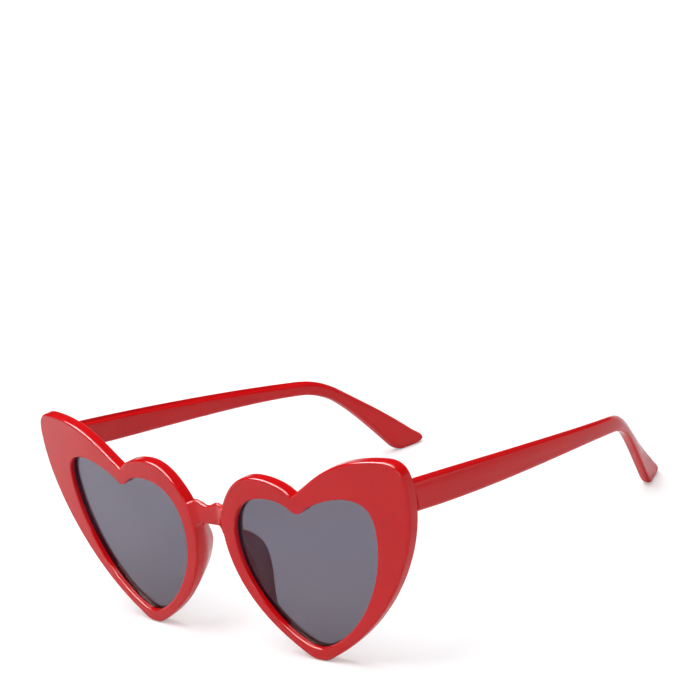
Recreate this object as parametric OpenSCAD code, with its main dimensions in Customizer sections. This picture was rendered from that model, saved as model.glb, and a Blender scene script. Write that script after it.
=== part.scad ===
// Heart shaped sunglasses, open, standing on the feet of both rims and on both temple tips.
// X is the width, the front looks along -Y, Z is up. The origin is under the middle, on the floor.

/* [Front] */
// Overall width of the front
front_w = 148; // [140:1:156]
// Height of the hearts, from the foot to the top of the wing
front_h = 62; // [56:1:68]
// Thickness of the front
front_t = 3.6; // [3.2:0.1:4.6]
// Radius of the front's wrap around the face
wrap_r = 515; // [400:5:900]
// Gap between the two rims where they come closest
rim_gap = 11.6; // [9:0.2:14]
// Width of each rim beside the nose
rim_nose = 4.8; // [4.2:0.05:6]
// Width of each rim at the outer end
rim_end = 12.4; // [11:0.1:14]
// Width of each rim at the brow
rim_brow = 11.9; // [10:0.1:13]
// Width of each rim at the foot
rim_foot = 3.8; // [3:0.1:5]

/* [Bridge] */
// Height of the bridge's underside above the floor
bridge_z = 37; // [34:0.2:38]
// Height of the bridge, measured at its middle
bridge_h = 4.9; // [4:0.1:5.4]
// How far the bridge lies behind the face of the rims
bridge_recess = 1; // [0.6:0.1:1.6]
// Radius of the fillet under each end of the bridge
bridge_fillet = 2; // [1:0.1:2.6]

/* [Lenses] */
// Thickness of the lenses
lens_t = 1.5; // [1.2:0.1:1.9]
// Thickness of the rim's lip behind each lens
lip_t = 0.6; // [0.5:0.05:0.8]
// Depth of the groove that holds each lens
groove_d = 0.7; // [0.4:0.1:1]
// Clearance around each lens in its groove
lens_clearance = 0.05; // [0.02:0.01:0.1]

/* [Nose pads] */
// How far the nose pads stand out behind the front
pad_d = 6.9; // [5:0.1:8]
// Width of the nose pads at their foot
pad_w = 3.6; // [3:0.1:4]
// Thickness of the nose pads at their rear edge
pad_t = 1.7; // [1.3:0.1:2.2]
// Angle at which the nose pads splay
pad_splay = 30; // [20:1:38]

/* [Temples] */
// Overall depth, from the face of the front to the temple tips
overall_d = 146.6; // [138:0.2:158]
// Thickness of the temples
temple_t = 3.5; // [3:0.1:4]
// How far the top of the temples lies below the top of the wings, where they meet the front
root_drop = 6.6; // [5:0.2:10]
// Height of the temples' blade where they meet the front
root_h = 7.7; // [7.2:0.1:9]
// Distance over the outer faces of the two temple tips
tips_w = 102.2; // [92:0.2:112]
// How far each temple's outer face lies inside the end of the front
temple_inset = 0.2; // [0:0.1:1]
// Gap between each open temple and the back of the front
butt_gap = 0.25; // [0.15:0.05:0.4]

/* [Hinges] */
// Height of the stack of five knuckles
hinge_h = 5.4; // [4.6:0.1:6.2]
// Outer radius of the knuckles
knuckle_r = 1.5; // [1.3:0.05:1.8]
// Gap between neighbouring knuckles
knuckle_gap = 0.08; // [0.05:0.01:0.15]
// Clearance of the knuckles to the two leaves
hinge_gap = 0.3; // [0.2:0.05:0.5]
// Radius of the screw's shank
screw_r = 0.7; // [0.5:0.05:0.8]
// Radial clearance of the screw in its bores
screw_clearance = 0.05; // [0.02:0.01:0.1]
// Radius of the screw's head
head_r = 1.2; // [1:0.05:1.3]
// Height of the screw's head
head_h = 0.6; // [0.4:0.1:0.8]
// Width of the slot in the screw's head
slot_w = 0.35; // [0.25:0.05:0.5]
// Depth of the slot in the screw's head
slot_d = 0.3; // [0.2:0.05:0.35]
// Width of the front leaf's anchor
anchor_w = 6; // [5:0.1:7]
// Length of the temple leaf behind the axis
leaf_l = 9; // [7:0.5:11]
// Height of the temple leaf
leaf_h = 4; // [3.4:0.1:4.6]
// How deep both leaves are sunk in the plastic
leaf_sunk = 1.1; // [0.8:0.1:1.4]
// How far both leaves stand proud of the plastic
leaf_proud = 0.3; // [0.1:0.1:0.4]

/* [Hidden] */

plastic = "crimson";
smoke = "slategray";
steel = "silver";

// Left and right are the wearer's, so the left side is drawn at +X and mirrored for the right side.
// Each outline below is a run of cubic curves: a corner, its two handles, the next corner and so on.

// A heart shaped rim and its lens opening, as shares of their boxes: [away from the nose, up]
heart_shares = [
    [0.426, 0.797], [0.541, 0.874], [0.645, 1],
    [0.898, 1], [0.992, 1], [1, 0.935],
    [1, 0.84], [1, 0.588], [0.82, 0.228],
    [0.489, 0.027], [0.473, 0.018], [0.457, 0],
    [0.437, 0], [0.42, 0], [0.405, 0],
    [0.393, 0], [0.367, 0], [0.356, 0.013],
    [0.341, 0.024], [0.207, 0.112], [0, 0.274],
    [0, 0.575], [0, 0.61], [0.002, 0.652],
    [0.013, 0.676], [0.079, 0.819], [0.157, 0.866],
    [0.241, 0.866], [0.331, 0.866], [0.404, 0.826]
];
// Place in the heart's outline where the curve beside the nose starts
nose_curve_at = 18;
opening_shares = [
    [0.53, 0.89], [0.583, 0.942], [0.737, 1],
    [0.832, 1], [0.975, 1], [1, 0.918],
    [1, 0.818], [1, 0.5], [0.794, 0.129],
    [0.506, 0.008], [0.485, 0], [0.448, 0],
    [0.421, 0.006], [0.276, 0.045], [0, 0.31],
    [0, 0.637], [0, 0.792], [0.08, 0.945],
    [0.285, 0.945], [0.364, 0.945], [0.409, 0.925],
    [0.446, 0.894], [0.473, 0.871], [0.5, 0.864]
];

// Top of the bridge from its middle outwards: shares of half the rim gap, and of the bridge's height
bridge_top_shares = [[0, 1], [0.25, 1.02], [0.5, 1.13], [0.78, 1.23], [1.05, 1.25], [1.3, 1.2]];

// A temple's outer face from above: shares of its length, and of how far its tip is drawn in
plan_shares = [
    [0, 0], [0.259, -0.01], [0.564, 0.12],
    [0.731, 0.37], [0.795, 0.475], [0.911, 0.86],
    [1, 1]
];
// A temple from the side: shares of its length, and of the height of its top at the front
side_top_shares = [
    [0, 1], [0.259, 0.88], [0.513, 0.745],
    [0.702, 0.635], [0.745, 0.61], [0.771, 0.582],
    [0.807, 0.507], [0.868, 0.365], [0.928, 0.223],
    [0.972, 0.105], [0.987, 0.07], [1, 0.055],
    [1, 0.028]
];
side_under_shares = [
    [1, 0.028], [1, 0.012], [0.988, 0],
    [0.973, 0], [0.963, 0], [0.951, 0],
    [0.939, 0], [0.934, 0], [0.924, 0.016],
    [0.917, 0.041], [0.891, 0.137], [0.839, 0.342],
    [0.796, 0.442], [0.778, 0.484], [0.753, 0.52],
    [0.722, 0.545], [0.55, 0.648], [0.222, 0.738]
];

// Rear outline of a nose pad: shares of its height, and of its depth
pad_profile_shares = [
    [0, 0.08], [0.14, 0.38], [0.26, 0.62], [0.38, 0.81], [0.51, 0.95],
    [0.65, 1], [0.82, 0.84], [0.92, 0.58], [1, 0.1]
];
// Stretch of the curve beside the nose that carries the pad
pad_from_share = 0.44;
pad_to_share = 0.965;

// Steps along each curve, and the levels and edge steps of a pad
curve_steps = 10;
pad_levels = 18;
pad_edge_steps = 6;

// Sides of the wrapped faces and of the round hinge parts
wrap_sides = 720;
round_sides = 48;

// Knuckles of each hinge: three on the front, two on the temple between them
knuckles = 5;

// Overrun of every cut
over = 1;

// The front's face and back, and the boxes of a heart and its opening
face_y = -overall_d / 2;
wrap_y = face_y + wrap_r;
back_r = wrap_r - front_t;
half_gap = rim_gap / 2;
half_w = front_w / 2;
front_depth = wrap_r - sqrt(wrap_r * wrap_r - half_w * half_w) + front_t;
heart_low = [half_gap, 0];
heart_size = [half_w - half_gap, front_h];
opening_low = heart_low + [rim_nose, rim_foot];
opening_size = heart_size - [rim_nose + rim_end, rim_foot + rim_brow];
lens_from = front_t - lip_t - lens_t;
lens_to = front_t - lip_t;

// The temple's root, its length and the slope of its blade there
root_x = half_w - temple_inset;
root_y = back_y(root_x);
root_z = front_h - root_drop;
temple_size = [overall_d / 2 - root_y, root_z];
tip_pull = root_x - tips_w / 2;
root_slope = (side_top_shares[0].y - side_top_shares[1].y) * root_z / (side_top_shares[1].x * temple_size.x);

// The hinge's axis stands as far behind the front as inside the temple
axis_off = knuckle_r + hinge_gap + leaf_proud;
axis_x = root_x - temple_t - axis_off;
axis_turn = asin(axis_x / (back_r - axis_off));
axis_y = wrap_y - (back_r - axis_off) * cos(axis_turn);
axis_z = root_z - root_h / 2 - root_slope * (axis_y - root_y);
pitch = hinge_h / knuckles;
stack_top = axis_z + (hinge_h - knuckle_gap) / 2;

// A point of the cubic curve between corners a and d, with handles b and c
function cubic(a, b, c, d, t) =
    pow(1 - t, 3) * a + 3 * pow(1 - t, 2) * t * b + 3 * (1 - t) * t * t * c + pow(t, 3) * d;

// Points along a closed run of curves, from its corners and handles
function closed_curve(p) = [
    for (k = [0 : 3 : len(p) - 1])
        for (i = [0 : curve_steps - 1])
            cubic(p[k], p[k + 1], p[k + 2], p[(k + 3) % len(p)], i / curve_steps)
];

// Points along an open run of curves, with its last corner
function open_curve(p) = [
    for (k = [0 : 3 : len(p) - 4])
        for (i = [0 : curve_steps - 1])
            cubic(p[k], p[k + 1], p[k + 2], p[k + 3], i / curve_steps),
    p[len(p) - 1]
];

// Shares of a box as places
function placed(shares, low, size) = [for (s = shares) [low.x + s.x * size.x, low.y + s.y * size.y]];

// The direction to the left of the way from a to b
function leftward(a, b) = [a.y - b.y, b.x - a.x] / norm(b - a);

// A closed clockwise outline, grown by a distance
function grown(p, by) = [
    for (i = [0 : len(p) - 1])
        p[i] + by * leftward(p[(i + len(p) - 1) % len(p)], p[(i + 1) % len(p)])
];

// An open line, moved to its left by a distance
function beside(p, by) = [
    for (i = [0 : len(p) - 1])
        p[i] + by * leftward(p[max(i - 1, 0)], p[min(i + 1, len(p) - 1)])
];

// Where the back of the front is, at a distance from the middle
function back_y(x) = wrap_y - sqrt(back_r * back_r - x * x);

function reversed(p) = [for (i = [len(p) - 1 : -1 : 0]) p[i]];

function mirrored(p) = [for (q = p) [-q.x, q.y]];

heart = closed_curve(placed(heart_shares, heart_low, heart_size));
opening = closed_curve(placed(opening_shares, opening_low, opening_size));
nose_curve = placed([for (i = [0 : 3]) heart_shares[nose_curve_at + i]], heart_low, heart_size);

module on_side(is_right) {
    mirror([is_right ? 1 : 0, 0, 0]) children();
}

module on_both_sides() {
    children();
    mirror([1, 0, 0]) children();
}

// An outline in X and Z, cut through the whole depth of the front
module through_front(points) {
    translate([0, face_y + front_depth + over, 0])
        rotate([90, 0, 0])
            linear_extrude(front_depth + 2 * over) polygon(points);
}

// Everything between two depths behind the wrapped face
module wrap_layer(from, to) {
    translate([0, wrap_y, -over]) difference() {
        cylinder(r = wrap_r - from, h = front_h + 2 * over, $fn = wrap_sides);
        translate([0, 0, -over]) cylinder(r = wrap_r - to, h = front_h + 4 * over, $fn = wrap_sides);
    }
}

module rim() {
    intersection() {
        through_front(heart);
        wrap_layer(0, front_t);
    }
}

// The lens opening with the groove that holds the lens
module lens_space() {
    through_front(opening);
    intersection() {
        through_front(grown(opening, groove_d));
        wrap_layer(lens_from - lens_clearance, lens_to + lens_clearance);
    }
}

// Half of the bridge's outline, from its top down its end in the rim and along the fillet to its underside
bridge_half = concat(
    [for (s = bridge_top_shares) [s.x * half_gap, bridge_z + s.y * bridge_h]],
    [
        [half_gap + rim_nose / 2, bridge_z + bridge_h],
        [half_gap + rim_nose / 2, bridge_z - bridge_fillet]
    ],
    [
        for (i = [0 : curve_steps])
            let (turn = 90 * i / curve_steps)
            [half_gap, bridge_z] - bridge_fillet * [1 - cos(turn), 1 - sin(turn)]
    ]
);

module bridge() {
    intersection() {
        through_front(concat(bridge_half, reversed(mirrored(bridge_half))));
        wrap_layer(bridge_recess, front_t);
    }
}

module front_frame() {
    color(plastic) difference() {
        union() {
            on_both_sides() rim();
            bridge();
        }
        on_both_sides() {
            lens_space();
            front_plate();
        }
    }
}

module lens(is_right) {
    color(smoke) on_side(is_right) intersection() {
        through_front(grown(opening, groove_d - lens_clearance));
        wrap_layer(lens_from, lens_to);
    }
}

// One level of a nose pad, seen from above: a fin that leans away from the nose, with a round rear edge
function pad_ring(level) =
    let (
        share = level / pad_levels,
        along = pad_from_share + share * (pad_to_share - pad_from_share),
        foot = cubic(nose_curve[0], nose_curve[1], nose_curve[2], nose_curve[3], along),
        depth = pad_d * lookup(share, pad_profile_shares),
        edge_r = min(pad_t, depth) / 2,
        reach = depth - edge_r,
        edge = [foot.x + edge_r + reach * tan(pad_splay), back_y(foot.x) + reach]
    )
    concat(
        [[foot.x, back_y(foot.x), foot.y]],
        [
            for (i = [0 : pad_edge_steps])
                let (turn = 180 - 180 * i / pad_edge_steps)
                [edge.x + edge_r * cos(turn), edge.y + edge_r * sin(turn), foot.y]
        ],
        [[foot.x + pad_w, back_y(foot.x + pad_w), foot.y]]
    );

module nose_pad(is_right) {
    ring = len(pad_ring(0));
    points = [for (level = [0 : pad_levels]) each pad_ring(level)];
    walls = [
        for (level = [0 : pad_levels - 1])
            for (i = [0 : ring - 1])
                let (a = level * ring + i, b = level * ring + (i + 1) % ring)
                each [[a, b, b + ring], [a, b + ring, a + ring]]
    ];
    lower_end = [[for (i = [ring - 1 : -1 : 0]) i]];
    upper_end = [[for (i = [0 : ring - 1]) pad_levels * ring + i]];
    color(plastic) on_side(is_right) polyhedron(points, concat(walls, lower_end, upper_end));
}

// The temple between its outer and inner faces, seen from above
module temple_plan() {
    outer = [for (s = open_curve(plan_shares)) [root_x - s.y * tip_pull, root_y + s.x * temple_size.x]];
    inner = beside(outer, temple_t);
    face = concat([[outer[0].x, root_y - front_t]], outer, [outer[len(outer) - 1] + [0, over]]);
    back = concat([[inner[0].x, root_y - front_t]], inner, [inner[len(inner) - 1] + [0, over]]);
    translate([0, 0, -over]) linear_extrude(root_z + front_h) polygon(concat(face, reversed(back)));
}

// The temple's outline from the side
module temple_side() {
    under_shares = concat(side_under_shares, [[0, 1 - root_h / root_z]]);
    top = placed(open_curve(side_top_shares), [root_y, 0], temple_size);
    under = placed(open_curve(under_shares), [root_y, 0], temple_size);
    start_y = root_y - front_t;
    start_top = [start_y, root_z + root_slope * front_t];
    start_under = start_top - [0, root_h];
    rotate([90, 0, 90]) linear_extrude(front_w) polygon(concat(
        [start_top],
        top,
        [for (i = [1 : len(under) - 1]) under[i]],
        [start_under]
    ));
}

module temple(is_right) {
    color(plastic) on_side(is_right) difference() {
        intersection() {
            temple_plan();
            temple_side();
            translate([0, wrap_y, -over])
                cylinder(r = back_r - butt_gap, h = front_h + 2 * over, $fn = wrap_sides);
        }
        temple_plate();
    }
}

module at_axis(turn) {
    translate([axis_x, axis_y, axis_z]) rotate([0, 0, turn]) children();
}

// A knuckle with the lug that joins it to its leaf; the lug runs along -Y
module knuckle(index) {
    translate([0, 0, (index - knuckles / 2) * pitch + knuckle_gap / 2]) {
        cylinder(r = knuckle_r, h = pitch - knuckle_gap, $fn = round_sides);
        translate([-knuckle_r, -axis_off, 0]) cube([2 * knuckle_r, axis_off, pitch - knuckle_gap]);
    }
}

module screw_bore() {
    translate([0, 0, -hinge_h]) cylinder(r = screw_r + screw_clearance, h = 2 * hinge_h, $fn = round_sides);
}

// The front leaf's plate, sunk in the back of the front
module front_plate() {
    at_axis(axis_turn)
        translate([knuckle_r - anchor_w, -axis_off - leaf_sunk, -hinge_h / 2])
            cube([anchor_w, leaf_sunk + leaf_proud, hinge_h]);
}

module hinge_front(is_right) {
    color(steel) on_side(is_right) {
        difference() {
            union() {
                front_plate();
                at_axis(axis_turn) for (index = [0 : 2 : knuckles - 1]) knuckle(index);
            }
            at_axis(0) screw_bore();
        }
    }
}

// The temple leaf's plate, sunk in the inner face of the temple and sloping with its blade
module temple_plate() {
    at_axis(0)
        translate([axis_off - leaf_proud, 0, 0])
            rotate([-atan(root_slope), 0, 0])
                translate([0, -knuckle_r / 2, -leaf_h / 2])
                    cube([leaf_sunk + leaf_proud, knuckle_r / 2 + leaf_l, leaf_h]);
}

module hinge_temple(is_right) {
    color(steel) on_side(is_right) {
        difference() {
            union() {
                temple_plate();
                at_axis(90) for (index = [1 : 2 : knuckles - 1]) knuckle(index);
            }
            at_axis(0) screw_bore();
        }
    }
}

module hinge_screw(is_right) {
    color(steel) on_side(is_right) translate([axis_x, axis_y, 0]) difference() {
        union() {
            translate([0, 0, stack_top - hinge_h + knuckle_gap])
                cylinder(r = screw_r, h = hinge_h - knuckle_gap + head_h / 2, $fn = round_sides);
            translate([0, 0, stack_top]) cylinder(r = head_r, h = head_h, $fn = round_sides);
        }
        translate([-head_r - over, -slot_w / 2, stack_top + head_h - slot_d])
            cube([2 * (head_r + over), slot_w, slot_d + over]);
    }
}

front_frame();
lens(false);  // lens_left
lens(true);  // lens_right
nose_pad(false);  // nose_pad_left
nose_pad(true);  // nose_pad_right
temple(false);  // temple_left
temple(true);  // temple_right
hinge_front(false);  // hinge_front_left
hinge_front(true);  // hinge_front_right
hinge_temple(false);  // hinge_temple_left
hinge_temple(true);  // hinge_temple_right
hinge_screw(false);  // hinge_screw_left
hinge_screw(true);  // hinge_screw_right
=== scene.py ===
"""Heart shaped sunglasses in a white studio, open, standing on both rims' feet and on both temple tips.

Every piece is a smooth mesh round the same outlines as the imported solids. Lengths are in millimetres until
a mesh is made. Left and right are the wearer's: a left piece lies at +X, and the same code with side -1
makes the right one. Sizes of the part have names in small letters. Names in capitals are tables, counts,
colours and light.
"""

import math

import bmesh
import bpy
import numpy as np
from mathutils import Matrix, Vector


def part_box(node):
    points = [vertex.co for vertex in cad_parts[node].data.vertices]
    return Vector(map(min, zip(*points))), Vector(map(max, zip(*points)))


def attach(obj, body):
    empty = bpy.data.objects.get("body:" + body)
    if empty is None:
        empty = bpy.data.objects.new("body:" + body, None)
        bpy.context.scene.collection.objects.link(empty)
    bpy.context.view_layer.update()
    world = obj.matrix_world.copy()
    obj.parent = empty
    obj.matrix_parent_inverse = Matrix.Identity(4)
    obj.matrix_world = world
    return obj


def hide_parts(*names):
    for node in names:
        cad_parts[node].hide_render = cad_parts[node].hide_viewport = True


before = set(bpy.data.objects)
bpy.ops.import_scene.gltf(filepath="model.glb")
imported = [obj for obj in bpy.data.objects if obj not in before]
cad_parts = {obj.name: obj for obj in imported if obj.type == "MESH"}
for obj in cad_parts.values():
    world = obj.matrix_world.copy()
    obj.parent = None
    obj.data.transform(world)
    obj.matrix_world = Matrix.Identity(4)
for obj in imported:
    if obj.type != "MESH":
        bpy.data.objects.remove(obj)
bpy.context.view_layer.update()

MM = 0.001
SIDES = {"left": 1, "right": -1}


def node_box(node):
    """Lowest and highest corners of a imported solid, in millimetres."""
    low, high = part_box(node)
    return np.array(low) / MM, np.array(high) / MM


# The front: its outside as packed, and the radius to which it is wrapped
front_low, front_high = node_box("front_frame")
half_w = front_high[0]
front_h = front_high[2]
face_y = front_low[1]
front_t = 3.6
wrap_r = 515.0
wrap_y = face_y + wrap_r
back_r = wrap_r - front_t
half_gap = 5.8

# Width of a rim on its nose side and at its outer end, below its opening and above it
rim_nose, rim_end = 4.8, 12.4
rim_foot, rim_brow = 3.8, 11.9

# Rounded edges of the rims, and of their openings, at the face and at the back
rim_round, rim_back_round = 0.75, 0.65
mouth_round, lip_round = 0.5, 0.22

# Bridge: underside, how far its face and back lie inside those of the rims, and its fillets and edges
bridge_z = 36.4
bridge_recess, bridge_back_recess = 1.0, 0.25
bridge_fillet, bridge_blend = 2.0, 0.7
bridge_round, bridge_back_round = 0.85, 1.3
# How far its top falls towards the back, and how far its ends reach into the rims
bridge_back_fall = 0.55
bridge_sink = 2.3
# The hollow in which its face flares out to the rims begins inside the gap and ends inside the rim, a
# little behind the rim's face. At the back the blend is moved into the rim, so that the surfaces cross.
flare_from, flare_to, flare_step = 2.6, 0.7, 0.02
blend_sink = 0.03

# Lenses in their grooves
lens_t, lip_t = 1.5, 0.6
lens_from, lens_to = front_t - lip_t - lens_t, front_t - lip_t
groove_d, lens_clearance = 0.7, 0.05
lens_round = 0.2

# Nose pads: thickness of the rear edge, depth of the root in the rim, step between the rim's wall and the
# pad, and the share of a pad's slant that its rear edge takes
pad_t, pad_sink, pad_step, pad_lean = 1.7, rim_back_round, 0.004, 0.95
# How much farther from the nose its root ends than the rear edge's middle: always, and more where it is deep
pad_root, pad_root_deep = 0.35, 1.15
# The way in which a pad's outer face leaves the root: towards the nose and to the rear
pad_root_pull = (-0.55, 0.7)

# Temples: thickness, top and height of the root, its inset from the front's end, and place of the tips
temple_t = 3.5
root_z, root_h, root_inset = 55.7, 8.65, 0.2
root_x = half_w - root_inset
root_y = wrap_y - math.sqrt(back_r ** 2 - root_x ** 2)
tip_y = node_box("temple_left")[1][1]
temple_l = tip_y - root_y
tips_w = 102.2
tip_pull = root_x - tips_w / 2
# The root end: gap to the front, chamfer, and the stretch over which it is bent to follow the front
butt_gap, butt_chamfer, butt_reach = 0.12, 0.12, 12
# How a temple's outer face falls back towards its top edge, as shares of the blade's height: how far, and
# over what stretch. The third is the share of the temple's length over which that fades out before the tip.
crown_fall, crown_reach, crown_fade = 0.12, 0.6, 0.12

# Hinges: the axis as packed, how far it lies behind the front's back, and the turn of that back there
screw_low, screw_high = node_box("hinge_screw_left")
stack_low, stack_high = node_box("hinge_front_left")
stack_h = (stack_high - stack_low)[2]
hinge_axis = (*(screw_low + screw_high)[:2] / 2, (stack_low + stack_high)[2] / 2)
hinge_behind = 2.1
hinge_turn = math.asin(hinge_axis[0] / (back_r - hinge_behind))
# Their knuckles: how many, spacing, height, radius, rounded edges, and the bore with its chamfers
KNUCKLES, pitch, knuckle_h, knuckle_r = 5, 1.08, 1.0, 1.5
knuckle_round, bore_r, bore_chamfer = 0.15, 0.75, 0.1
# Their leaves: thickness, edges, how far a leaf stands from the axis, and how deep a lug runs into it
leaf_t, leaf_round, leaf_off, lug_sink = 1.4, 0.17, 1.8, 0.5
# Radius of a leaf's corners beside the knuckles; how far the front's leaf reaches towards the nose, and the
# corners there; where the temple's leaf begins and ends, its height, and the corners at its far end
leaf_corner = 0.5
front_leaf_l, front_leaf_corner = 4.5, 1.1
temple_leaf_from, temple_leaf_to, temple_leaf_h, temple_leaf_corner = -0.75, 9.0, 4.0, 1.7
# The screw: shank, head with its dome, and slot
shank_r, shank_chamfer, head_r, head_h, dome_h = 0.7, 0.14, 1.2, 0.6, 0.3
head_chamfer, slot_w, slot_d = 0.07, 0.35, 0.3

# Width of the row beside a rounded edge that keeps the shading of the flat face next to it clean
support = 0.14

# Steps of each curve and each rounded edge, stations round a rim on its outer and its nose side, rows
# across a flat face, and stations along the bridge
CURVE_STEPS, ROUND_STEPS = 60, 7
OUTER_STEPS, NOSE_STEPS = 300, 240
FACE_ROWS = 7
BRIDGE_STATIONS = 101
# Rings of a lens's faces, as shares of the way from its middle to its edge
LENS_RINGS = (0.03, 0.1, 0.2, 0.32, 0.45, 0.58, 0.7, 0.8, 0.89, 0.96)
# A pad from its foot up, round its rear edge, and along each of its sides
PAD_LEVELS, PAD_EDGE_STEPS, PAD_SIDE_STEPS = 72, 10, 9
# A temple along its length and across its height
ALONG, ACROSS = 220, 9
# Where on the last curve of its outline a temple's tip begins, and how late its rows bend to that tip
TIP_FROM, TIP_BEND = 0.45, 12
KNUCKLE_STEPS, SCREW_STEPS, DOME_STEPS = 96, 48, 12

# Each outline is a run of cubic curves: a corner, its two handles, the next corner and so on
HEART = [
    (0.426, 0.797), (0.541, 0.874), (0.645, 1), (0.898, 1), (0.992, 1), (1, 0.935),
    (1, 0.84), (1, 0.592), (0.8257, 0.2395), (0.505, 0.0367), (0.474, 0.0178), (0.456, 0),
    (0.424, 0), (0.42, 0), (0.412, 0), (0.408, 0), (0.376, 0), (0.358, 0.0133),
    (0.33, 0.0313), (0.196, 0.1209), (0, 0.2821), (0, 0.575), (0, 0.61), (0.002, 0.652),
    (0.013, 0.676), (0.079, 0.819), (0.157, 0.866), (0.241, 0.866), (0.331, 0.866), (0.404, 0.826),
]
OPENING = [
    (0.53, 0.89), (0.583, 0.942), (0.737, 1), (0.832, 1), (0.975, 1), (1, 0.918),
    (1, 0.818), (1, 0.5), (0.794, 0.129), (0.506, 0.008), (0.485, 0), (0.448, 0),
    (0.421, 0.006), (0.276, 0.045), (0, 0.31), (0, 0.637), (0, 0.792), (0.08, 0.945),
    (0.285, 0.945), (0.364, 0.945), (0.409, 0.925), (0.446, 0.894), (0.473, 0.871), (0.5, 0.864),
]
# Where each outline has its notch and its foot, in curves from its start
HEART_NOTCH, HEART_FOOT = 0, 4.5
OPENING_NOTCH, OPENING_FOOT = 7.55, 3.5

# Top of the bridge: distance from the middle and height
BRIDGE_TOP = [
    (0, 42.25), (1.0, 42.35), (2.0, 42.75), (3.2, 43.3), (4.2, 43.5), (5.2, 43.4), (6.4, 43.0), (8.2, 42.4),
]

# A nose pad from its top down: height, depth behind the front, and how far the middle of its rear edge lies
# from the rim's wall, away from the nose
PAD_SHAPE = [
    (34.7, 0.05, 0.9), (34.5, 1.3, 1.15), (34.0, 2.5, 1.7), (33.0, 3.9, 2.6), (31.5, 5.1, 3.55),
    (30.0, 6.0, 4.05), (28.5, 6.55, 4.2), (27.0, 6.8, 4.22), (25.5, 6.76, 4.18), (24.0, 6.55, 4.1),
    (22.5, 6.2, 3.95), (21.0, 5.7, 3.7), (19.5, 5.05, 3.42), (18.0, 4.3, 3.1), (16.5, 3.5, 2.78),
    (15.0, 2.65, 2.42), (13.5, 1.8, 1.98), (12.0, 0.95, 1.45), (10.9, 0.3, 1.1), (10.6, 0.05, 1.0),
]

# A temple from above, as shares of its length and of the way that its tip turns in
TEMPLE_PLAN = [(0, 0), (0.259, -0.01), (0.564, 0.12), (0.731, 0.37), (0.795, 0.475), (0.911, 0.86), (1, 1)]
# Its upper and its lower outline from the side, as shares of its length and of the root's height
TEMPLE_TOP = [
    (0, 1.004), (0.259, 0.884), (0.513, 0.749), (0.702, 0.64), (0.745, 0.615), (0.771, 0.587),
    (0.807, 0.512), (0.868, 0.37), (0.928, 0.228), (0.972, 0.108), (0.987, 0.072), (1, 0.055), (1, 0.028),
]
TEMPLE_UNDER = [
    (1, 0.028), (1, 0.012), (0.988, 0), (0.973, 0), (0.963, 0), (0.951, 0), (0.939, 0),
    (0.933, 0), (0.922, 0.015), (0.915, 0.038), (0.889, 0.132), (0.837, 0.336), (0.795, 0.437),
    (0.777, 0.479), (0.752, 0.515), (0.721, 0.54), (0.55, 0.643), (0.222, 0.733), (0, 1 - root_h / root_z),
]
# Its edges at six places from the root over the top, round the tip and back below: radius of the outer
# edge, radius of the inner edge, and how far the blade slopes down towards the head
TEMPLE_EDGES = [
    (1.1, 1.0, 1.0), (1.1, 1.0, 1.0), (1.05, 1.2, 0.1), (1.45, 1.45, 0), (1.05, 1.2, 0), (1.05, 1.2, 0),
]

# Colours: between these two the dye of the plastic and the grain of the steel vary, and a lens's colour with
# its height, where its darker foot is painted shade
RED_DEEP, RED_BRIGHT = (0.64, 0.0035, 0.0055), (0.68, 0.0055, 0.008)
# A lens's colour at its foot is painted shade, and its colour at the top is its own tint
SMOKE_SHADED_FOOT, SMOKE_TOP = (0.0, 0.0, 0.0), (0.01, 0.018, 0.042)
STEEL_DARK, STEEL_BRIGHT = (0.60, 0.60, 0.61), (0.74, 0.73, 0.73)
SMOKE_ALPHA = 0.615
# The tint that a lens gives to the white behind it, which its plain alpha can't give
LENS_FILTER = (0.93, 0.85, 1.0)

# The table, in metres: half its width, how far it lies below the feet, and its white
FLOOR_HALF, FLOOR_DROP, FLOOR_WHITE = 12.0, 0.00005, 0.7
# Its glow to the camera near the part and far off, and the distances between which that changes
FLOOR_GLOW, FLOOR_NEAR_FAR = (0.36, 0.85), (0.2, 1.0)
# Its glow in gloss, a painted reflection for the part with no lamp there, and the places along X between
# which that fades out
PATCH_GLOW, PATCH_FROM, PATCH_TO = 0.5, -0.24, -0.08
# The world's light on surfaces, its light in gloss low down and high up, and the heights between them
WORLD_FILL, WORLD_GLOSS, WORLD_FADE = 0.47, (0.9, 0.04), (0.05, 0.2)


def curve(corners, closed):
    """Points along a run of cubic curves."""
    p = np.array(corners, float)
    t = np.linspace(0, 1, CURVE_STEPS, endpoint=False)[:, None]
    parts = []
    for k in range(0, len(p) if closed else len(p) - 1, 3):
        a, b, c, d = (p[(k + i) % len(p)] for i in range(4))
        parts.append((1 - t) ** 3 * a + 3 * (1 - t) ** 2 * t * b + 3 * (1 - t) * t * t * c + t ** 3 * d)
    if not closed:
        parts.append(p[-1:])
    return np.concatenate(parts)


def spaced(points, count):
    """That many points at equal distances along a line, both ends included."""
    way = np.concatenate([[0], np.cumsum(np.linalg.norm(np.diff(points, axis=0), axis=1))])
    at = np.linspace(0, way[-1], count)
    return np.stack([np.interp(at, way, points[:, k]) for k in range(points.shape[1])], axis=1)


def round_trip(points, notch, foot):
    """A closed outline from its notch to its foot and back, in stations that match the other outline's."""
    points = np.roll(points, -round(notch * CURVE_STEPS), axis=0)
    foot_at = round((foot - notch) * CURVE_STEPS) % len(points)
    outer = spaced(points[: foot_at + 1], OUTER_STEPS + 1)
    nose = spaced(np.concatenate([points[foot_at:], points[:1]]), NOSE_STEPS + 1)
    return np.concatenate([outer[:-1], nose[:-1]])


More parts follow.
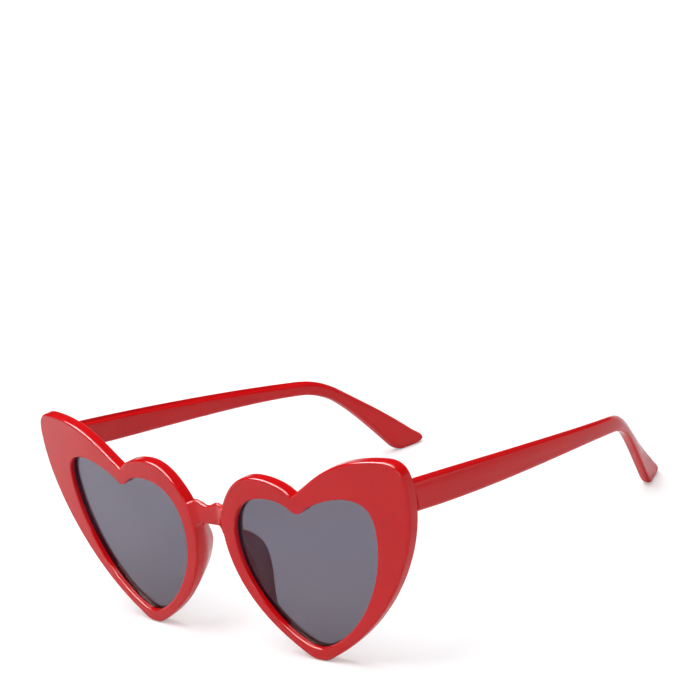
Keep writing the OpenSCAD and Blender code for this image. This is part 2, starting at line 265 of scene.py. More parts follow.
def inward(points, closed=True):
    """The way to the inside at each point of a clockwise outline.

    It is longer than 1 at corners, so that an inset keeps the edges parallel."""
    edge = np.roll(points, -1, axis=0) - points
    edge /= np.linalg.norm(edge, axis=1)[:, None]
    right = np.stack([edge[:, 1], -edge[:, 0]], axis=1)
    if not closed:
        right[-1] = right[-2]
    before = np.roll(right, 1, axis=0)
    if not closed:
        before[0] = right[0]
    return (right + before) / (1 + np.sum(right * before, axis=1))[:, None]


def smooth(at, table):
    """A smooth curve through a table of places and values."""
    x, y = np.array(table, float).T
    slope = np.gradient(y, x)
    at = np.clip(at, x[0], x[-1])
    k = np.clip(np.searchsorted(x, at, side="right") - 1, 0, len(x) - 2)
    w = x[k + 1] - x[k]
    t = (at - x[k]) / w
    return (
        (1 + 2 * t) * (1 - t) ** 2 * y[k]
        + t * (1 - t) ** 2 * w * slope[k]
        + t * t * (3 - 2 * t) * y[k + 1]
        - t * t * (1 - t) * w * slope[k + 1]
    )


def hermite(start, end, leave, arrive, steps):
    """Points of a smooth curve between two places with given directions, without its last point."""
    rows = []
    for k in range(steps):
        t = k / steps
        rows.append(
            (2 * t ** 3 - 3 * t * t + 1) * start + (t ** 3 - 2 * t * t + t) * leave
            + (3 * t * t - 2 * t ** 3) * end + (t ** 3 - t * t) * arrive
        )
    return rows


def quarter(radius, thickness=None):
    """Inset and depth along a rounded edge: from the face to the wall, or with a thickness to the back."""
    rows = []
    for k in range(ROUND_STEPS + 1):
        turn = math.pi / 2 * k / ROUND_STEPS
        if thickness is None:
            rows.append((radius * (1 - math.sin(turn)), radius * (1 - math.cos(turn))))
        else:
            rows.append((radius * (1 - math.cos(turn)), thickness - radius * (1 - math.sin(turn))))
    return rows


def rounded_side(edge, thickness):
    """Inset and height up the side of a flat piece with rounded edges, from its lower to its upper face."""
    inner = edge + support
    return [(inner, 0), *quarter(edge), *quarter(edge, thickness), (inner, thickness)]


class Net:
    """The vertices and faces of one piece while it is made, in millimetres."""

    def __init__(self):
        self.points = []
        self.faces = []

    def add(self, points):
        """Adds vertices and returns their numbers, as one row."""
        start = len(self.points)
        self.points.extend(tuple(p) for p in points)
        return list(range(start, len(self.points)))

    def strip(self, a, b, closed=True):
        """Faces between two rows of equally many vertices."""
        for i in range(len(a) if closed else len(a) - 1):
            j = (i + 1) % len(a)
            self.faces.append((a[i], a[j], b[j], b[i]))

    def tube(self, rows, closed=True, joined=False):
        """Faces along a series of rows; joined also ties the last row to the first."""
        for k in range(len(rows) if joined else len(rows) - 1):
            self.strip(rows[k], rows[(k + 1) % len(rows)], closed)

    def fan(self, row, middle):
        """A closed row filled round a middle vertex."""
        centre = self.add([middle])[0]
        for i, a in enumerate(row):
            self.faces.append((a, row[(i + 1) % len(row)], centre))

    def cap(self, *rows):
        """Each closed row filled round its own middle."""
        for row in rows:
            self.fan(row, np.mean([self.points[i] for i in row], axis=0))

    def mesh(self, name, sharp=40):
        """A Blender mesh in metres, smooth except along edges sharper than that angle."""
        data = bpy.data.meshes.new(name)
        data.from_pydata([[c * MM for c in p] for p in self.points], [], self.faces)
        finish_mesh(data, sharp)
        return data


def finish_mesh(data, sharp):
    """Outward normals, smooth faces, and sharp edges above an angle in degrees."""
    work = bmesh.new()
    work.from_mesh(data)
    bmesh.ops.remove_doubles(work, verts=work.verts, dist=1e-7)
    bmesh.ops.recalc_face_normals(work, faces=work.faces)
    work.to_mesh(data)
    work.free()
    data.shade_smooth()
    data.set_sharp_from_angle(angle=math.radians(sharp))


def new_object(name, data):
    """Puts a mesh, lamp or camera into the scene."""
    thing = bpy.data.objects.new(name, data)
    bpy.context.scene.collection.objects.link(thing)
    return thing


def dress(piece, material, body, slot, *nodes):
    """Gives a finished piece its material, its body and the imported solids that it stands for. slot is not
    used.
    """
    piece.data.materials.clear()
    piece.data.materials.append(material)
    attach(piece, body)
    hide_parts(*nodes)


def combined(base, others, operation, sharp):
    """The mesh of base after a boolean with the other meshes, with sharp edges above an angle in degrees."""
    things = [new_object(data.name, data) for data in (base, *others)]
    for other in things[1:]:
        cut = things[0].modifiers.new(operation, "BOOLEAN")
        cut.operation = operation
        cut.solver = "EXACT"
        cut.object = other
    graph = bpy.context.evaluated_depsgraph_get()
    data = bpy.data.meshes.new_from_object(things[0].evaluated_get(graph))
    for thing in things:
        bpy.data.objects.remove(thing)
    finish_mesh(data, sharp)
    return data


def on_wrap(flat, depth, side=1):
    """Places an outline's points at a depth behind the wrapped face of the front."""
    x, z = flat[:, 0], flat[:, 1]
    y = wrap_y - np.sqrt((wrap_r - depth) ** 2 - x * x)
    return np.stack([side * x, y, z], axis=1)


# Outlines of the left rim and its opening, the way inside from each, and the rim's wall next to the nose
heart_size = (half_w - half_gap, front_h)
heart = curve(HEART, True) * heart_size + (half_gap, 0)
opening_size = (heart_size[0] - rim_nose - rim_end, front_h - rim_foot - rim_brow)
opening = curve(OPENING, True) * opening_size + (half_gap + rim_nose, rim_foot)
rim_line = round_trip(heart, HEART_NOTCH, HEART_FOOT)
mouth_line = round_trip(opening, OPENING_NOTCH, OPENING_FOOT)
rim_in = inward(rim_line)
mouth_out = -inward(mouth_line)
nose_wall = rim_line[OUTER_STEPS:]
nose_wall = nose_wall[: np.argmax(nose_wall[:, 1])]


def face_rows(start, end, depth):
    """Rows across a face between two outlines, without the outlines."""
    return [(start + (end - start) * k / (FACE_ROWS + 1), depth) for k in range(1, FACE_ROWS + 1)]


def rim_rows(net, side):
    """The closed series of rows round the section of a rim, with the groove that holds its lens."""
    outer = [(rim_round + support, 0), *quarter(rim_round)]
    outer += [(0, rim_round + support), (0, front_t / 2), (0, front_t - rim_back_round - support)]
    outer += [*quarter(rim_back_round, front_t), (rim_back_round + support, front_t)]
    groove_to, groove_from = lens_to + lens_clearance, lens_from - lens_clearance
    mouth = [(lip_round + support, front_t), *reversed(quarter(lip_round, front_t))]
    mouth += [(0, groove_to), (groove_d, groove_to), (groove_d, groove_from), (0, groove_from)]
    mouth += [(0, mouth_round + support), *reversed(quarter(mouth_round)), (mouth_round + support, 0)]
    rows = [(rim_line + inset * rim_in, depth) for inset, depth in outer]
    back = face_rows(rows[-1][0], mouth_line + mouth[0][0] * mouth_out, front_t)
    inner = [(mouth_line + inset * mouth_out, depth) for inset, depth in mouth]
    face = face_rows(inner[-1][0], rows[0][0], 0)
    return [net.add(on_wrap(flat, depth, side)) for flat, depth in rows + back + inner + face]


def make_rim(side):
    """One rim, as a closed ring."""
    net = Net()
    net.tube(rim_rows(net, side), joined=True)
    return net.mesh("rim")


def wall_blend(recess, edge, gap):
    """Depth of the bridge's back below the rims' backs, at a distance from a rim's side wall.

    Near the wall the back rises in a hollow curve that runs into the rim's rounded edge."""
    reach = math.sqrt((edge + bridge_blend) ** 2 - (edge - recess + bridge_blend) ** 2) - edge - blend_sink
    share = edge / (edge + bridge_blend)
    touch = -edge + share * (reach + edge)
    inside = np.clip(reach - np.maximum(gap, touch), 0, bridge_blend)
    return recess - bridge_blend + np.sqrt(bridge_blend ** 2 - inside ** 2)


def bridge_section(x):
    """The closed outline across the bridge at a distance from the middle, as depths and heights."""
    away = abs(x)
    top = float(smooth(away, BRIDGE_TOP))
    over_fillet = np.clip(away - (half_gap - bridge_fillet), 0, bridge_fillet)
    under = bridge_z - bridge_fillet + math.sqrt(bridge_fillet ** 2 - over_fillet ** 2)
    shallow, deep = bridge_recess, front_t - bridge_back_recess
    front_r, rear_r = bridge_round, bridge_back_round
    corners = [
        (shallow + front_r, under + front_r, front_r, 270),
        (shallow + front_r, top - front_r, front_r, 180),
        (deep - rear_r, top - bridge_back_fall - rear_r, rear_r, 90),
        (deep - front_r, under + front_r, front_r, 0),
    ]
    section = []
    for depth, z, radius, start in corners:
        for k in range(ROUND_STEPS + 1):
            turn = math.radians(start - 90 * k / ROUND_STEPS)
            section.append((depth + radius * math.cos(turn), z + radius * math.sin(turn)))
    section = np.array(section)
    gap = np.interp(section[:, 1], nose_wall[:, 1], nose_wall[:, 0]) - away
    share = (section[:, 0] - shallow) / (deep - shallow)
    flare = np.clip((flare_from - gap) / (flare_from + flare_to), 0, 1)
    rise = (shallow - flare_step) * flare * flare * (3 - 2 * flare)
    fall = bridge_back_recess - wall_blend(bridge_back_recess, rim_back_round, gap)
    section[:, 0] += share * fall - (1 - share) * rise
    return section


def make_bridge():
    """The bridge between the rims: a shallow saddle that swells and flares into their side walls."""
    end = half_gap + bridge_sink
    net = Net()
    rows = []
    for x in np.sin(np.linspace(-math.pi / 2, math.pi / 2, BRIDGE_STATIONS)) * end:
        section = bridge_section(x)
        flat = np.stack([np.full(len(section), x), section[:, 1]], axis=1)
        rows.append(net.add(on_wrap(flat, section[:, 0])))
    net.tube(rows)
    net.cap(rows[0], rows[-1])
    return net.mesh("bridge")


def make_front():
    """The moulded front: both rims and the bridge as one body."""
    return combined(make_rim(1), [make_rim(-1), make_bridge()], "UNION", sharp=35)


def make_lens(side):
    """A lens, slightly smaller than the groove in which it sits."""
    net = Net()
    outline = mouth_line + (groove_d - lens_clearance) * mouth_out
    into = -mouth_out
    middle = np.mean(outline, axis=0)
    face = [(middle + share * (outline + lens_round * into - middle), lens_from) for share in LENS_RINGS]
    back = [(flat, lens_to) for flat, _ in reversed(face)]
    edge = [*quarter(lens_round), *quarter(lens_round, lens_t)]
    edge = [(outline + inset * into, lens_from + depth) for inset, depth in edge]
    rows = [net.add(on_wrap(flat, depth, side)) for flat, depth in face + edge + back]
    net.tube(rows)
    net.fan(rows[0], on_wrap(middle[None], lens_from, side)[0])
    net.fan(rows[-1], on_wrap(middle[None], lens_to, side)[0])
    return net.mesh("lens")


def pad_ring(z, depth, stand_off):
    """A pad's outline at a height, from its root along the nose side, round its rear edge and back.

    Each point is a distance from the middle and a depth behind the front's back."""
    wall = np.interp(z, nose_wall[:, 1], nose_wall[:, 0])
    edge_r = min(pad_t, depth) / 2
    reach = depth - edge_r
    length = reach + pad_sink
    lean = math.atan2(stand_off - edge_r, length) * pad_lean
    centre = np.array((wall + stand_off, reach))
    along = np.array((math.sin(lean), math.cos(lean)))
    across = np.array((math.cos(lean), -math.sin(lean)))
    first = np.array((wall + pad_step, -pad_sink))
    last = np.array((wall + stand_off + pad_root + pad_root_deep * min(1, depth / pad_t), -pad_sink))
    straight, pull = np.array((0, length)), length * np.array(pad_root_pull)
    nose_face = hermite(first, centre - edge_r * across, straight, length * along, PAD_SIDE_STEPS)
    outer_face = hermite(last, centre + edge_r * across, pull, length * along, PAD_SIDE_STEPS)
    turns = [math.pi * i / PAD_EDGE_STEPS for i in range(PAD_EDGE_STEPS + 1)]
    edge = [centre - edge_r * math.cos(a) * across + edge_r * math.sin(a) * along for a in turns]
    return nose_face + edge + outer_face[::-1]


def pad_place(x, depth, z, side):
    """A place on the part, from a distance from the middle, a depth behind the front and a height."""
    back = wrap_y - math.sqrt(back_r ** 2 - x * x)
    return (side * x, back + depth, z)


def make_pad(side):
    """A nose pad: it runs on from the rim's wall, leans away from the nose, and has a round rear edge."""
    table = np.array(PAD_SHAPE)[::-1]
    net = Net()
    rows = []
    for level in range(PAD_LEVELS + 1):
        share = 0.5 - 0.5 * math.cos(math.pi * level / PAD_LEVELS)
        z = table[0, 0] + share * (table[-1, 0] - table[0, 0])
        depth, stand_off = (float(smooth(z, table[:, (0, k)])) for k in (1, 2))
        rows.append(net.add(pad_place(x, y, z, side) for x, y in pad_ring(z, depth, stand_off)))
    net.tube(rows)
    net.cap(rows[0], rows[-1])
    return net.mesh("pad", sharp=60)


def temple_faces():
    """A temple's outer and inner face from above, as rows of places along it.

    Both are drawn out a little beyond the temple's ends."""
    beyond = 3
    plan = curve(TEMPLE_PLAN, False) * (temple_l, -tip_pull) + (root_y, root_x)
    ahead = plan[-1] + beyond * (plan[-1] - plan[-2]) / np.linalg.norm(plan[-1] - plan[-2])
    before = plan[0] - (beyond, 0)
    outer = np.concatenate([[before], plan, [ahead]])
    return outer, outer + temple_t * inward(outer, closed=False)


OUTER, INNER = temple_faces()


def on_temple(flat, depth, side):
    """Places side-view points at a depth behind a temple's outer face. Its root follows the front's back."""
    y, z = flat[:, 0], flat[:, 1]
    share = depth / temple_t
    x = np.interp(y, *OUTER.T) * (1 - share) + np.interp(y, *INNER.T) * share
    butt = wrap_y - np.sqrt((back_r - butt_gap) ** 2 - x * x) - root_y
    near_root = np.clip(1 - (y - root_y) / butt_reach, 0, 1)
    return np.stack([side * x, y + butt * near_root, z], axis=1)


def temple_line():
    """A temple's outline from the side: from its root along the top, round the tip and back below."""
    top = curve(TEMPLE_TOP, False) * (temple_l, root_z) + (root_y, 0)
    under = curve(TEMPLE_UNDER, False) * (temple_l, root_z) + (root_y, 0)
    turn_at = round(CURVE_STEPS * TIP_FROM)
    tip = np.concatenate([top[-1 - turn_at:-1], under[: turn_at + 1]])
    top_row = spaced(top[: -turn_at], ALONG + 1)
    tip_row = spaced(tip, ACROSS + 2)
    under_row = spaced(under[turn_at:], ALONG + 1)
    return np.concatenate([top_row, tip_row[1:-1], under_row])


def crowned_height(line):
    """The blade's height along a temple's outline, as its crown takes it: it fades out to 0 at the tip."""
    tall = np.linalg.norm(line[: ALONG + 1] - line[ALONG + ACROSS + 1:][::-1], axis=1)
    tall *= np.clip((ALONG - np.arange(ALONG + 1)) / (crown_fade * ALONG), 0, 1)
    return np.concatenate([tall, np.zeros(ACROSS + ALONG + 1)])[:, None]


def crown_depth(inset, tall):
    """How far a temple's outer face falls back at an inset from its top edge, on a blade that tall."""
    # Keeps the division below from failing at a height of 0
    tall = np.maximum(tall, 0.01)
    return crown_fall * tall * np.clip(1 - inset / (crown_reach * tall), 0, 1) ** 2


def make_temple(side):
    """A temple: rows run along its top, round its tip and back below, and both faces are filled across."""
    line = temple_line()
    into = inward(line, closed=False)
    tall = crowned_height(line)
    # The places of TEMPLE_EDGES: the root, two on the top, the tip's middle, and two on the way back below
    marks = [0, 0.6 * ALONG, 0.85 * ALONG, ALONG + ACROSS / 2, 1.1 * ALONG + ACROSS, 2 * ALONG + ACROSS]
    at = np.arange(len(line))
    outer_r, inner_r, fall = (np.interp(at, marks, column)[:, None] for column in zip(*TEMPLE_EDGES))
    outer = [(outer_r + support, 0), *quarter(outer_r)]
    shape = [(inset, depth + crown_depth(inset, tall)) for inset, depth in outer]
    shape += [(fall + inset, depth) for inset, depth in quarter(inner_r, temple_t)]
    shape.append((fall + inner_r + support, np.full_like(inner_r, temple_t)))
    flats = [line + inset * into for inset, _ in shape]
    net = Net()
    rows = [net.add(on_temple(flat, depth[:, 0], side)) for flat, (_, depth) in zip(flats, shape)]
    net.tube(rows, closed=False)
    insets = shape[0][0][:, 0]
    outer_root = fill_across(net, rows[0], flats[0], 0.0, side, insets, tall[:, 0])
    inner_root = fill_across(net, rows[-1], flats[-1], temple_t, side, insets, 0 * tall[:, 0])
    top_end = [row[0] for row in rows]
    under_end = [row[-1] for row in reversed(rows)]
    close_end(net, top_end + inner_root + under_end + outer_root[::-1])
    return net.mesh("temple", sharp=45)


def fill_across(net, row, flat, depth, side, insets, tall):
    """Fills a temple's face between its top and under rows.

    Returns the vertices of its root end, from the top down."""
    top, under = flat[: ALONG + 1], flat[ALONG + ACROSS + 1:][::-1]
    tip = flat[ALONG: ALONG + ACROSS + 2]
    grid = []
    for i in range(ALONG):
        bend = (i / ALONG) ** TIP_BEND
        height = np.linalg.norm(top[i] - under[i])
        line = [row[i]]
        for j in range(1, ACROSS + 1):
            s = j / (ACROSS + 1)
            straight = top[i] * (1 - s) + under[i] * s
            last = top[-1] * (1 - s) + under[-1] * s
            point = straight + (tip[j] - last) * bend
            behind = depth + crown_depth(insets[i] + s * height, tall[i])
            line += net.add(on_temple(point[None], np.array([behind]), side))
        grid.append(line + [row[2 * ALONG + ACROSS + 1 - i]])
    grid.append(row[ALONG: ALONG + ACROSS + 2])
    net.tube(grid, closed=False)
    return grid[0][1:-1]


def close_end(net, end):
    """The root end of a temple: a narrow chamfer round a flat face."""
    rim = np.array([net.points[i] for i in end])
    middle = rim.mean(axis=0)
    way = middle - rim
    way /= np.linalg.norm(way, axis=1)[:, None]
    face = net.add(rim + butt_chamfer * way)
    for i in end:
        x, y, z = net.points[i]
        net.points[i] = (x, y + butt_chamfer, z)
    net.strip(end, face)
    net.fan(face, middle)


def rounded_box(low, high, radii, steps=12):
    """A clockwise rectangle with rounded corners: lower left, upper left, upper right and lower right."""
    points = []
    for k, r in enumerate(radii):
        centre_x = (low[0] + r, high[0] - r)[k in (2, 3)]
        centre_y = (low[1] + r, high[1] - r)[k in (1, 2)]
        for i in range(steps + 1):
            a = math.radians(270 - 90 * (k + i / steps))
            points.append((centre_x + r * math.cos(a), centre_y + r * math.sin(a)))
    points = np.array(points)
    # Two corners with no straight edge between them share a point, which is kept once
    apart = np.linalg.norm(points - np.roll(points, 1, axis=0), axis=1) > 1e-6
    return points[apart]


def plate(outline, thickness, edge, place):
    """A plate with rounded edges. place turns points of the outline and a height into places on the part."""
    into = inward(outline)
    side = rounded_side(edge, thickness)
    net = Net()
    rows = [net.add(place(outline + inset * into, height)) for inset, height in side]
    net.tube(rows)
    net.cap(rows[0], rows[-1])
    return net.mesh("plate")


def at_hinge(x, y, z, turn, side):
    """Places on the part of points given from a hinge's axis, turned about it."""
    across = x * math.cos(turn) - y * math.sin(turn)
    along = x * math.sin(turn) + y * math.cos(turn)
    points = np.stack(np.broadcast_arrays(across, along, z), axis=1) + hinge_axis
    return points * (side, 1, 1)


def make_knuckle(index, turn, side):
    """A knuckle with its bore, and with the lug that joins it to its leaf; the turn points the lug."""
    # The lug's corners are a little rounder than the widest inset, so that no inset outline folds over
    lug_r = knuckle_round + support + 0.02
    radii = (lug_r, knuckle_r, knuckle_r, lug_r)
    outline = rounded_box((-knuckle_r, -leaf_off - lug_sink), (knuckle_r, knuckle_r), radii)
    outline = spaced(np.concatenate([outline, outline[:1]]), KNUCKLE_STEPS + 1)[:-1]
    into = inward(outline)
    bore = outline / np.linalg.norm(outline, axis=1)[:, None]
    rows = [(outline + inset * into, height) for inset, height in rounded_side(knuckle_round, knuckle_h)]
    wide = bore_r + bore_chamfer
    rows += [(wide * bore, knuckle_h), (bore_r * bore, knuckle_h - bore_chamfer)]
    rows += [(bore_r * bore, bore_chamfer), (wide * bore, 0)]
    low = (index - KNUCKLES / 2) * pitch + (pitch - knuckle_h) / 2
    net = Net()
    net.tube([net.add(at_hinge(*flat.T, low + height, turn, side)) for flat, height in rows], joined=True)
    return net.mesh("knuckle", sharp=30)


def make_front_leaf(side):
    """The leaf in the back of the front, with the top, middle and bottom knuckle."""
    high = stack_h / 2
    radii = (front_leaf_corner, front_leaf_corner, leaf_corner, leaf_corner)
    outline = rounded_box((-front_leaf_l, -high), (knuckle_r, high), radii)
    base = -leaf_off - leaf_t

    def place(flat, height):
        return at_hinge(flat[:, 0], base + height, flat[:, 1], hinge_turn, side)

    leaf = plate(outline, leaf_t, leaf_round, place)
    knuckles = [make_knuckle(index, hinge_turn, side) for index in range(0, KNUCKLES, 2)]
    return combined(leaf, knuckles, "UNION", sharp=30)


def make_temple_leaf(side):
    """The leaf in a temple's inner face, sloping with its blade, with the knuckles between the front's."""
    high = temple_leaf_h / 2
    radii = (leaf_corner, leaf_corner, temple_leaf_corner, temple_leaf_corner)
    outline = rounded_box((temple_leaf_from, -high), (temple_leaf_to, high), radii)
    blade_fall = (TEMPLE_TOP[0][1] - TEMPLE_TOP[1][1]) * root_z
    slope = math.atan(blade_fall / (TEMPLE_TOP[1][0] * temple_l))

    def place(flat, height):
        y = flat[:, 0] * math.cos(slope) + flat[:, 1] * math.sin(slope)
        z = flat[:, 1] * math.cos(slope) - flat[:, 0] * math.sin(slope)
        return at_hinge(leaf_off + height, y, z, 0, side)

    leaf = plate(outline, leaf_t, leaf_round, place)
    knuckles = [make_knuckle(index, math.pi / 2, side) for index in range(1, KNUCKLES, 2)]
    return combined(leaf, knuckles, "UNION", sharp=30)


def make_screw(side):
    """The hinge's pin: a shank with a domed, slotted head on the top knuckle."""
    top = (KNUCKLES * pitch - pitch + knuckle_h) / 2
    wall_h = head_h - dome_h
    rows = [(shank_r - shank_chamfer, -top), (shank_r, shank_chamfer - top), (shank_r, top)]
    rows += [(head_r - head_chamfer, top), (head_r, top + head_chamfer)]
    for k in range(DOME_STEPS):
        a = math.pi / 2 * k / DOME_STEPS
        rows.append((head_r * math.cos(a), top + wall_h + dome_h * math.sin(a)))
    turns = np.linspace(0, 2 * math.pi, SCREW_STEPS, endpoint=False)
    net = Net()
    rings = [net.add(at_hinge(r * np.cos(turns), r * np.sin(turns), z, 0, side)) for r, z in rows]
    net.tube(rings)
    for ring, z in ((rings[0], -top), (rings[-1], top + head_h)):
        net.fan(ring, at_hinge(0.0, 0.0, np.array([z]), 0, side)[0])
    return combined(net.mesh("screw", sharp=35), [slot_cutter(top, side)], "DIFFERENCE", sharp=30)


def slot_cutter(top, side):
    """A box that cuts the slot into a screw's head, which it overhangs at the ends and above."""
    corners = np.array([(-1, -1), (-1, 1), (1, 1), (1, -1)]) * (2 * head_r, slot_w / 2)
    heights = (top + head_h - slot_d, top + 2 * head_h)
    net = Net()
    ends = [net.add(at_hinge(*corners.T, height, 0, side)) for height in heights]
    net.tube(ends)
    net.faces += ends
    return net.mesh("slot")


def make_hinge(name, side):
    """One hinge: a leaf on the front, a leaf on the temple, and the screw between them."""
    parts = (
        ("hinge_front", "leaf", make_front_leaf, "front"),
        ("hinge_temple", "leaf", make_temple_leaf, f"temple_{name}"),
        ("hinge_screw", "pin", make_screw, "front"),
    )
    for node, what, maker, body in parts:
        piece = new_object(f"{node}_{name}_{what}", maker(side))
        dress(piece, steel, body, "hinge_steel", f"{node}_{name}")


class Shading:
    """The nodes of a material, or of the world, while they are made."""

    def __init__(self, owner):
        owner.use_nodes = True
        self.nodes = owner.node_tree.nodes
        self.links = owner.node_tree.links

    def node(self, kind, **inputs):
        """A new node with numbers in its inputs; an underscore stands for the space in an input's name."""
        node = self.nodes.new(kind)
        for key, value in inputs.items():
            node.inputs[key.replace("_", " ")].default_value = value
        return node

    def link(self, source, node, target):
        """Ties an output to an input of a node, given by its name or number."""
        self.links.new(source, node.inputs[target])

    def place(self, kind="Object"):
        """Where a point lies. Every piece's own frame is that of the part."""
        return self.nodes.new("ShaderNodeTexCoord").outputs[kind]

    def coordinate(self, place, axis):
        """One coordinate of a place."""
        split = self.nodes.new("ShaderNodeSeparateXYZ")
        self.link(place, split, "Vector")
        return split.outputs[axis]

    def noise(self, place, scale, detail=3.0, stretch=None):
        """A noise pattern; stretch squeezes it along the axes."""
        if stretch:
            mapping = self.node("ShaderNodeMapping", Scale=stretch)
            self.link(place, mapping, "Vector")
            place = mapping.outputs["Vector"]
        pattern = self.node("ShaderNodeTexNoise", Scale=scale, Detail=detail)
        self.link(place, pattern, "Vector")
        return pattern.outputs["Fac"]

    def ramp(self, source, low, high, from_low=0.35, from_high=0.65):
        """A value between low and high, as the source goes from from_low to from_high."""
        span = self.node("ShaderNodeMapRange",
                         From_Min=from_low, From_Max=from_high, To_Min=low, To_Max=high)
        self.link(source, span, "Value")
        return span.outputs["Result"]

    def mixed(self, share, first, second):
        """A colour between two, by a share."""
        mix = self.nodes.new("ShaderNodeMix")
        mix.data_type = "RGBA"
        mix.inputs["A"].default_value = (*first, 1)
        mix.inputs["B"].default_value = (*second, 1)
        self.link(share, mix, "Factor")
        return mix.outputs["Result"]

    def calculate(self, operation, *sources):
        """The result of a Math node on other values."""
        node = self.nodes.new("ShaderNodeMath")
        node.operation = operation
        for number, source in enumerate(sources):
            self.link(source, node, number)
        return node.outputs["Value"]

    def white(self, path, level=1.0):
        """A white of the table or the backdrop, tinted where it is seen through a lens."""
        through = self.ramp(path.outputs["Transparent Depth"], 0.0, 1.0, 0.0, 1.0)
        return self.mixed(through, [level] * 3, [level * c for c in LENS_FILTER])


def new_material(name):
    """A material with its shading and its main shader."""
    material = bpy.data.materials.new(name)
    shading = Shading(material)
    return material, shading, shading.nodes["Principled BSDF"]


def red_plastic():
    """Polished plastic: faint clouds in the dye, fine wipe marks in the gloss, a trace of mould ripple."""
    material, shading, shader = new_material("red_plastic_glossy")
    place = shading.place()
    clouds = shading.ramp(shading.noise(place, scale=45.0), low=0.0, high=1.0)
    shading.link(shading.mixed(clouds, RED_DEEP, RED_BRIGHT), shader, "Base Color")
    wipes = shading.noise(place, scale=500.0, detail=5.0, stretch=(1.0, 1.0, 0.18))
    shading.link(shading.ramp(wipes, low=0.06, high=0.13), shader, "Roughness")
    ripple = shading.noise(place, scale=160.0, detail=2.0)
    bump = shading.node("ShaderNodeBump", Strength=0.12, Distance=0.00012)
    shading.link(ripple, bump, "Height")
    shading.link(bump.outputs["Normal"], shader, "Normal")
    shader.inputs["IOR"].default_value = 1.43
    return material


def smoke_lens():
    """Tinted lens: see-through, with painted shade that darkens it towards its foot, and faint wipe marks in
    its gloss.
    """
    material, shading, shader = new_material("smoke_lens_tinted")
    place = shading.place()
    # Painted shade: the base colour darkens from the top towards the lens's foot
    height = shading.ramp(shading.coordinate(place, "Z"), 0.0, 1.0, from_low=5 * MM, from_high=34 * MM)
    shading.link(shading.mixed(height, SMOKE_SHADED_FOOT, SMOKE_TOP), shader, "Base Color")
    wipes = shading.noise(place, scale=120.0, detail=4.0, stretch=(1.0, 1.0, 0.3))
    shading.link(shading.ramp(wipes, low=0.03, high=0.07), shader, "Roughness")
    shader.inputs["Alpha"].default_value = SMOKE_ALPHA
    shader.inputs["IOR"].default_value = 1.45
    return material


def hinge_steel():
    """Nickel plated steel with a fine turned grain."""
    material, shading, shader = new_material("hinge_steel_satin")
    grain = shading.noise(shading.place(), scale=900.0, detail=4.0, stretch=(0.3, 0.3, 3.0))
    shading.link(shading.mixed(grain, STEEL_DARK, STEEL_BRIGHT), shader, "Base Color")
    shading.link(shading.ramp(grain, low=0.2, high=0.34), shader, "Roughness")
    shader.inputs["Metallic"].default_value = 1.0
    return material


def facing(place, right, up, back):
    """The matrix that puts a camera or lamp at a place, with its own three directions."""
    return Matrix.Translation(place) @ Matrix((right, up, back)).transposed().to_4x4()


def make_camera():
    """The photograph's lower view, from the front on the wearer's left, tilted as the photograph is."""
    azimuth, elevation, roll = (math.radians(a) for a in (44.6041, 16.907, -10.5819))
    distance, target = 0.507678, Vector((0.0686354, -0.0733, 0.0945189))
    focal_px, frame_px, sensor = 2019.285, 700, 36.0
    level = math.cos(elevation)
    back = Vector((math.sin(azimuth) * level, -math.cos(azimuth) * level, math.sin(elevation)))
    right = Vector((math.cos(azimuth), math.sin(azimuth), 0))
    up = back.cross(right)
    tilted_right = math.cos(roll) * right + math.sin(roll) * up
    tilted_up = math.cos(roll) * up - math.sin(roll) * right
    data = bpy.data.cameras.new("camera")
    data.sensor_width = sensor
    data.lens = focal_px / frame_px * sensor
    camera = new_object("camera", data)
    camera.matrix_world = facing(target + distance * back, tilted_right, tilted_up, back)
    bpy.context.scene.camera = camera


def white_table():
    """The table's material. It takes the shadows, shows white to the camera, and isn't seen from below.

    Gloss sees it glow paler towards -X: a painted reflection for the part, with no lamp or window there."""
    material, shading, shader = new_material("white_table")
    path = shading.nodes.new("ShaderNodeLightPath")
    place = shading.place()
    shading.link(shading.white(path, FLOOR_WHITE), shader, "Base Color")
    shader.inputs["Roughness"].default_value = 1.0
    shader.inputs["Specular IOR Level"].default_value = 0.0

    # Painted reflection: a glow towards -X that only glossy rays see
    patch = shading.ramp(shading.coordinate(place, "X"), PATCH_GLOW, 0.0, PATCH_FROM, PATCH_TO)
    in_gloss = shading.calculate("MULTIPLY", path.outputs["Is Glossy Ray"], patch)
    distance = shading.nodes.new("ShaderNodeVectorMath")
    distance.operation = "LENGTH"
    shading.link(place, distance, 0)
    outwards = shading.ramp(distance.outputs["Value"], *FLOOR_GLOW, *FLOOR_NEAR_FAR)
    strength = shading.calculate("MULTIPLY_ADD", path.outputs["Is Camera Ray"], outwards, in_gloss)
    glow = shading.nodes.new("ShaderNodeEmission")
    shading.link(shading.white(path), glow, "Color")
    shading.link(strength, glow, "Strength")

    lit = shading.nodes.new("ShaderNodeAddShader")
    shading.link(shader.outputs["BSDF"], lit, 0)
    shading.link(glow.outputs["Emission"], lit, 1)
    clear = shading.nodes.new("ShaderNodeBsdfTransparent")
    geometry = shading.nodes.new("ShaderNodeNewGeometry")
    sided = shading.nodes.new("ShaderNodeMixShader")
    shading.link(geometry.outputs["Backfacing"], sided, "Fac")
    shading.link(lit.outputs["Shader"], sided, 1)
    shading.link(clear.outputs["BSDF"], sided, 2)
    shading.link(sided.outputs["Shader"], shading.nodes["Material Output"], "Surface")
    return material


def make_floor():
    """A wide white table on which the part stands."""
    data = bpy.data.meshes.new("floor")
    corners = [(-1, -1), (1, -1), (1, 1), (-1, 1)]
    data.from_pydata([(FLOOR_HALF * x, FLOOR_HALF * y, 0) for x, y in corners], [], [(0, 1, 2, 3)])
    data.materials.append(white_table())
    floor = new_object("floor", data)
    floor.location.z = -FLOOR_DROP


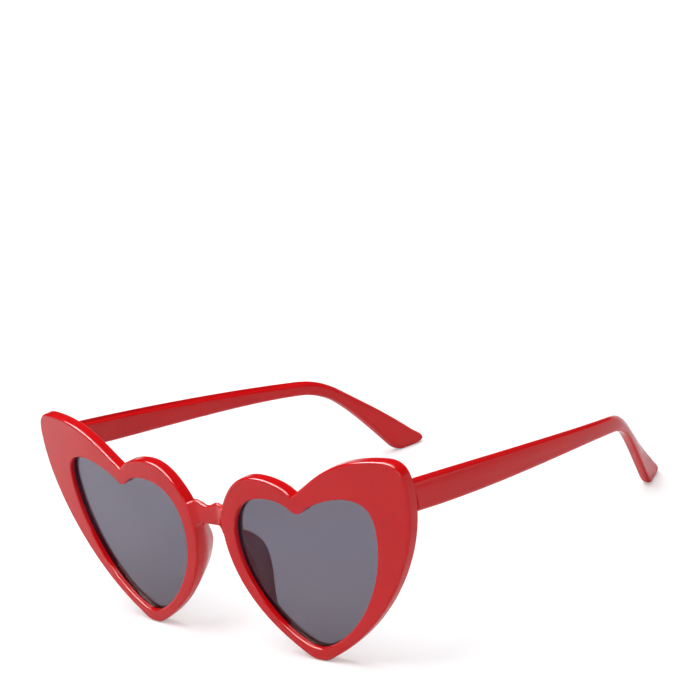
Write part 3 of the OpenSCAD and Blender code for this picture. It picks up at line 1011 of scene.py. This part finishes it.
def make_world():
    """Even white light all round. The camera sees white, and gloss a white backdrop below a dim room."""
    world = bpy.data.worlds.new("studio")
    bpy.context.scene.world = world
    shading = Shading(world)
    path = shading.nodes.new("ShaderNodeLightPath")
    up = shading.coordinate(shading.place("Generated"), "Z")
    backdrop = shading.ramp(up, *WORLD_GLOSS, *WORLD_FADE)
    fill = shading.node("ShaderNodeMix", A=WORLD_FILL)
    shading.link(path.outputs["Is Glossy Ray"], fill, "Factor")
    shading.link(backdrop, fill, "B")
    seen = shading.node("ShaderNodeMix", B=1.0)
    shading.link(path.outputs["Is Camera Ray"], seen, "Factor")
    shading.link(fill.outputs["Result"], seen, "A")
    background = shading.nodes["Background"]
    shading.link(shading.white(path), background, "Color")
    shading.link(seen.outputs["Result"], background, "Strength")


def make_lamp(name, place, aim, size, watts, turn=0.0):
    """A rectangular lamp aimed at a place. turn is the direction of its first side, seen from above."""
    data = bpy.data.lights.new(name, "AREA")
    data.shape = "RECTANGLE"
    data.size, data.size_y = size
    data.energy = watts
    away = (Vector(place) - Vector(aim)).normalized()
    along = Vector((math.cos(turn), math.sin(turn), 0))
    along = (along - along.dot(away) * away).normalized()
    lamp = new_object(name, data)
    lamp.matrix_world = facing(place, along, away.cross(along), away)
    lamp.visible_camera = False
    return lamp


def make_lights():
    """A softbox above, and a strip and a small softbox that only draw highlights."""
    make_lamp("overhead_softbox", place=(-0.15, -0.22, 1.1), aim=(0, 0, 0.03), size=(0.9, 0.9), watts=11.5)
    strip_turn = math.atan2(-0.349, 0.937)
    strip = make_lamp("strip_light", place=(-0.236, -0.653, 0.876), aim=(0, -0.07, 0.05), size=(1.33, 0.42),
                      watts=55.0, turn=strip_turn)
    side = make_lamp("side_softbox", place=(0.61, -1.03, 0.28), aim=(0, -0.07, 0.04), size=(0.35, 0.35),
                     watts=2.0)
    for lamp in (strip, side):
        lamp.visible_diffuse = False


plastic = red_plastic()
smoke = smoke_lens()
steel = hinge_steel()

front = new_object("front_moulding", make_front())
dress(front, plastic, "front", "red_plastic", "front_frame")
for name, side in SIDES.items():
    lens = new_object(f"lens_{name}_pane", make_lens(side))
    dress(lens, smoke, "front", "smoke_lens", f"lens_{name}")
    pad = new_object(f"nose_pad_{name}_fin", make_pad(side))
    dress(pad, plastic, "front", "red_plastic", f"nose_pad_{name}")
    temple = new_object(f"temple_{name}_arm", make_temple(side))
    dress(temple, plastic, f"temple_{name}", "red_plastic", f"temple_{name}")
    make_hinge(name, side)

make_floor()
make_world()
make_lights()
make_camera()
bpy.context.scene.view_settings.view_transform = "Standard"

bpy.context.view_layer.update()
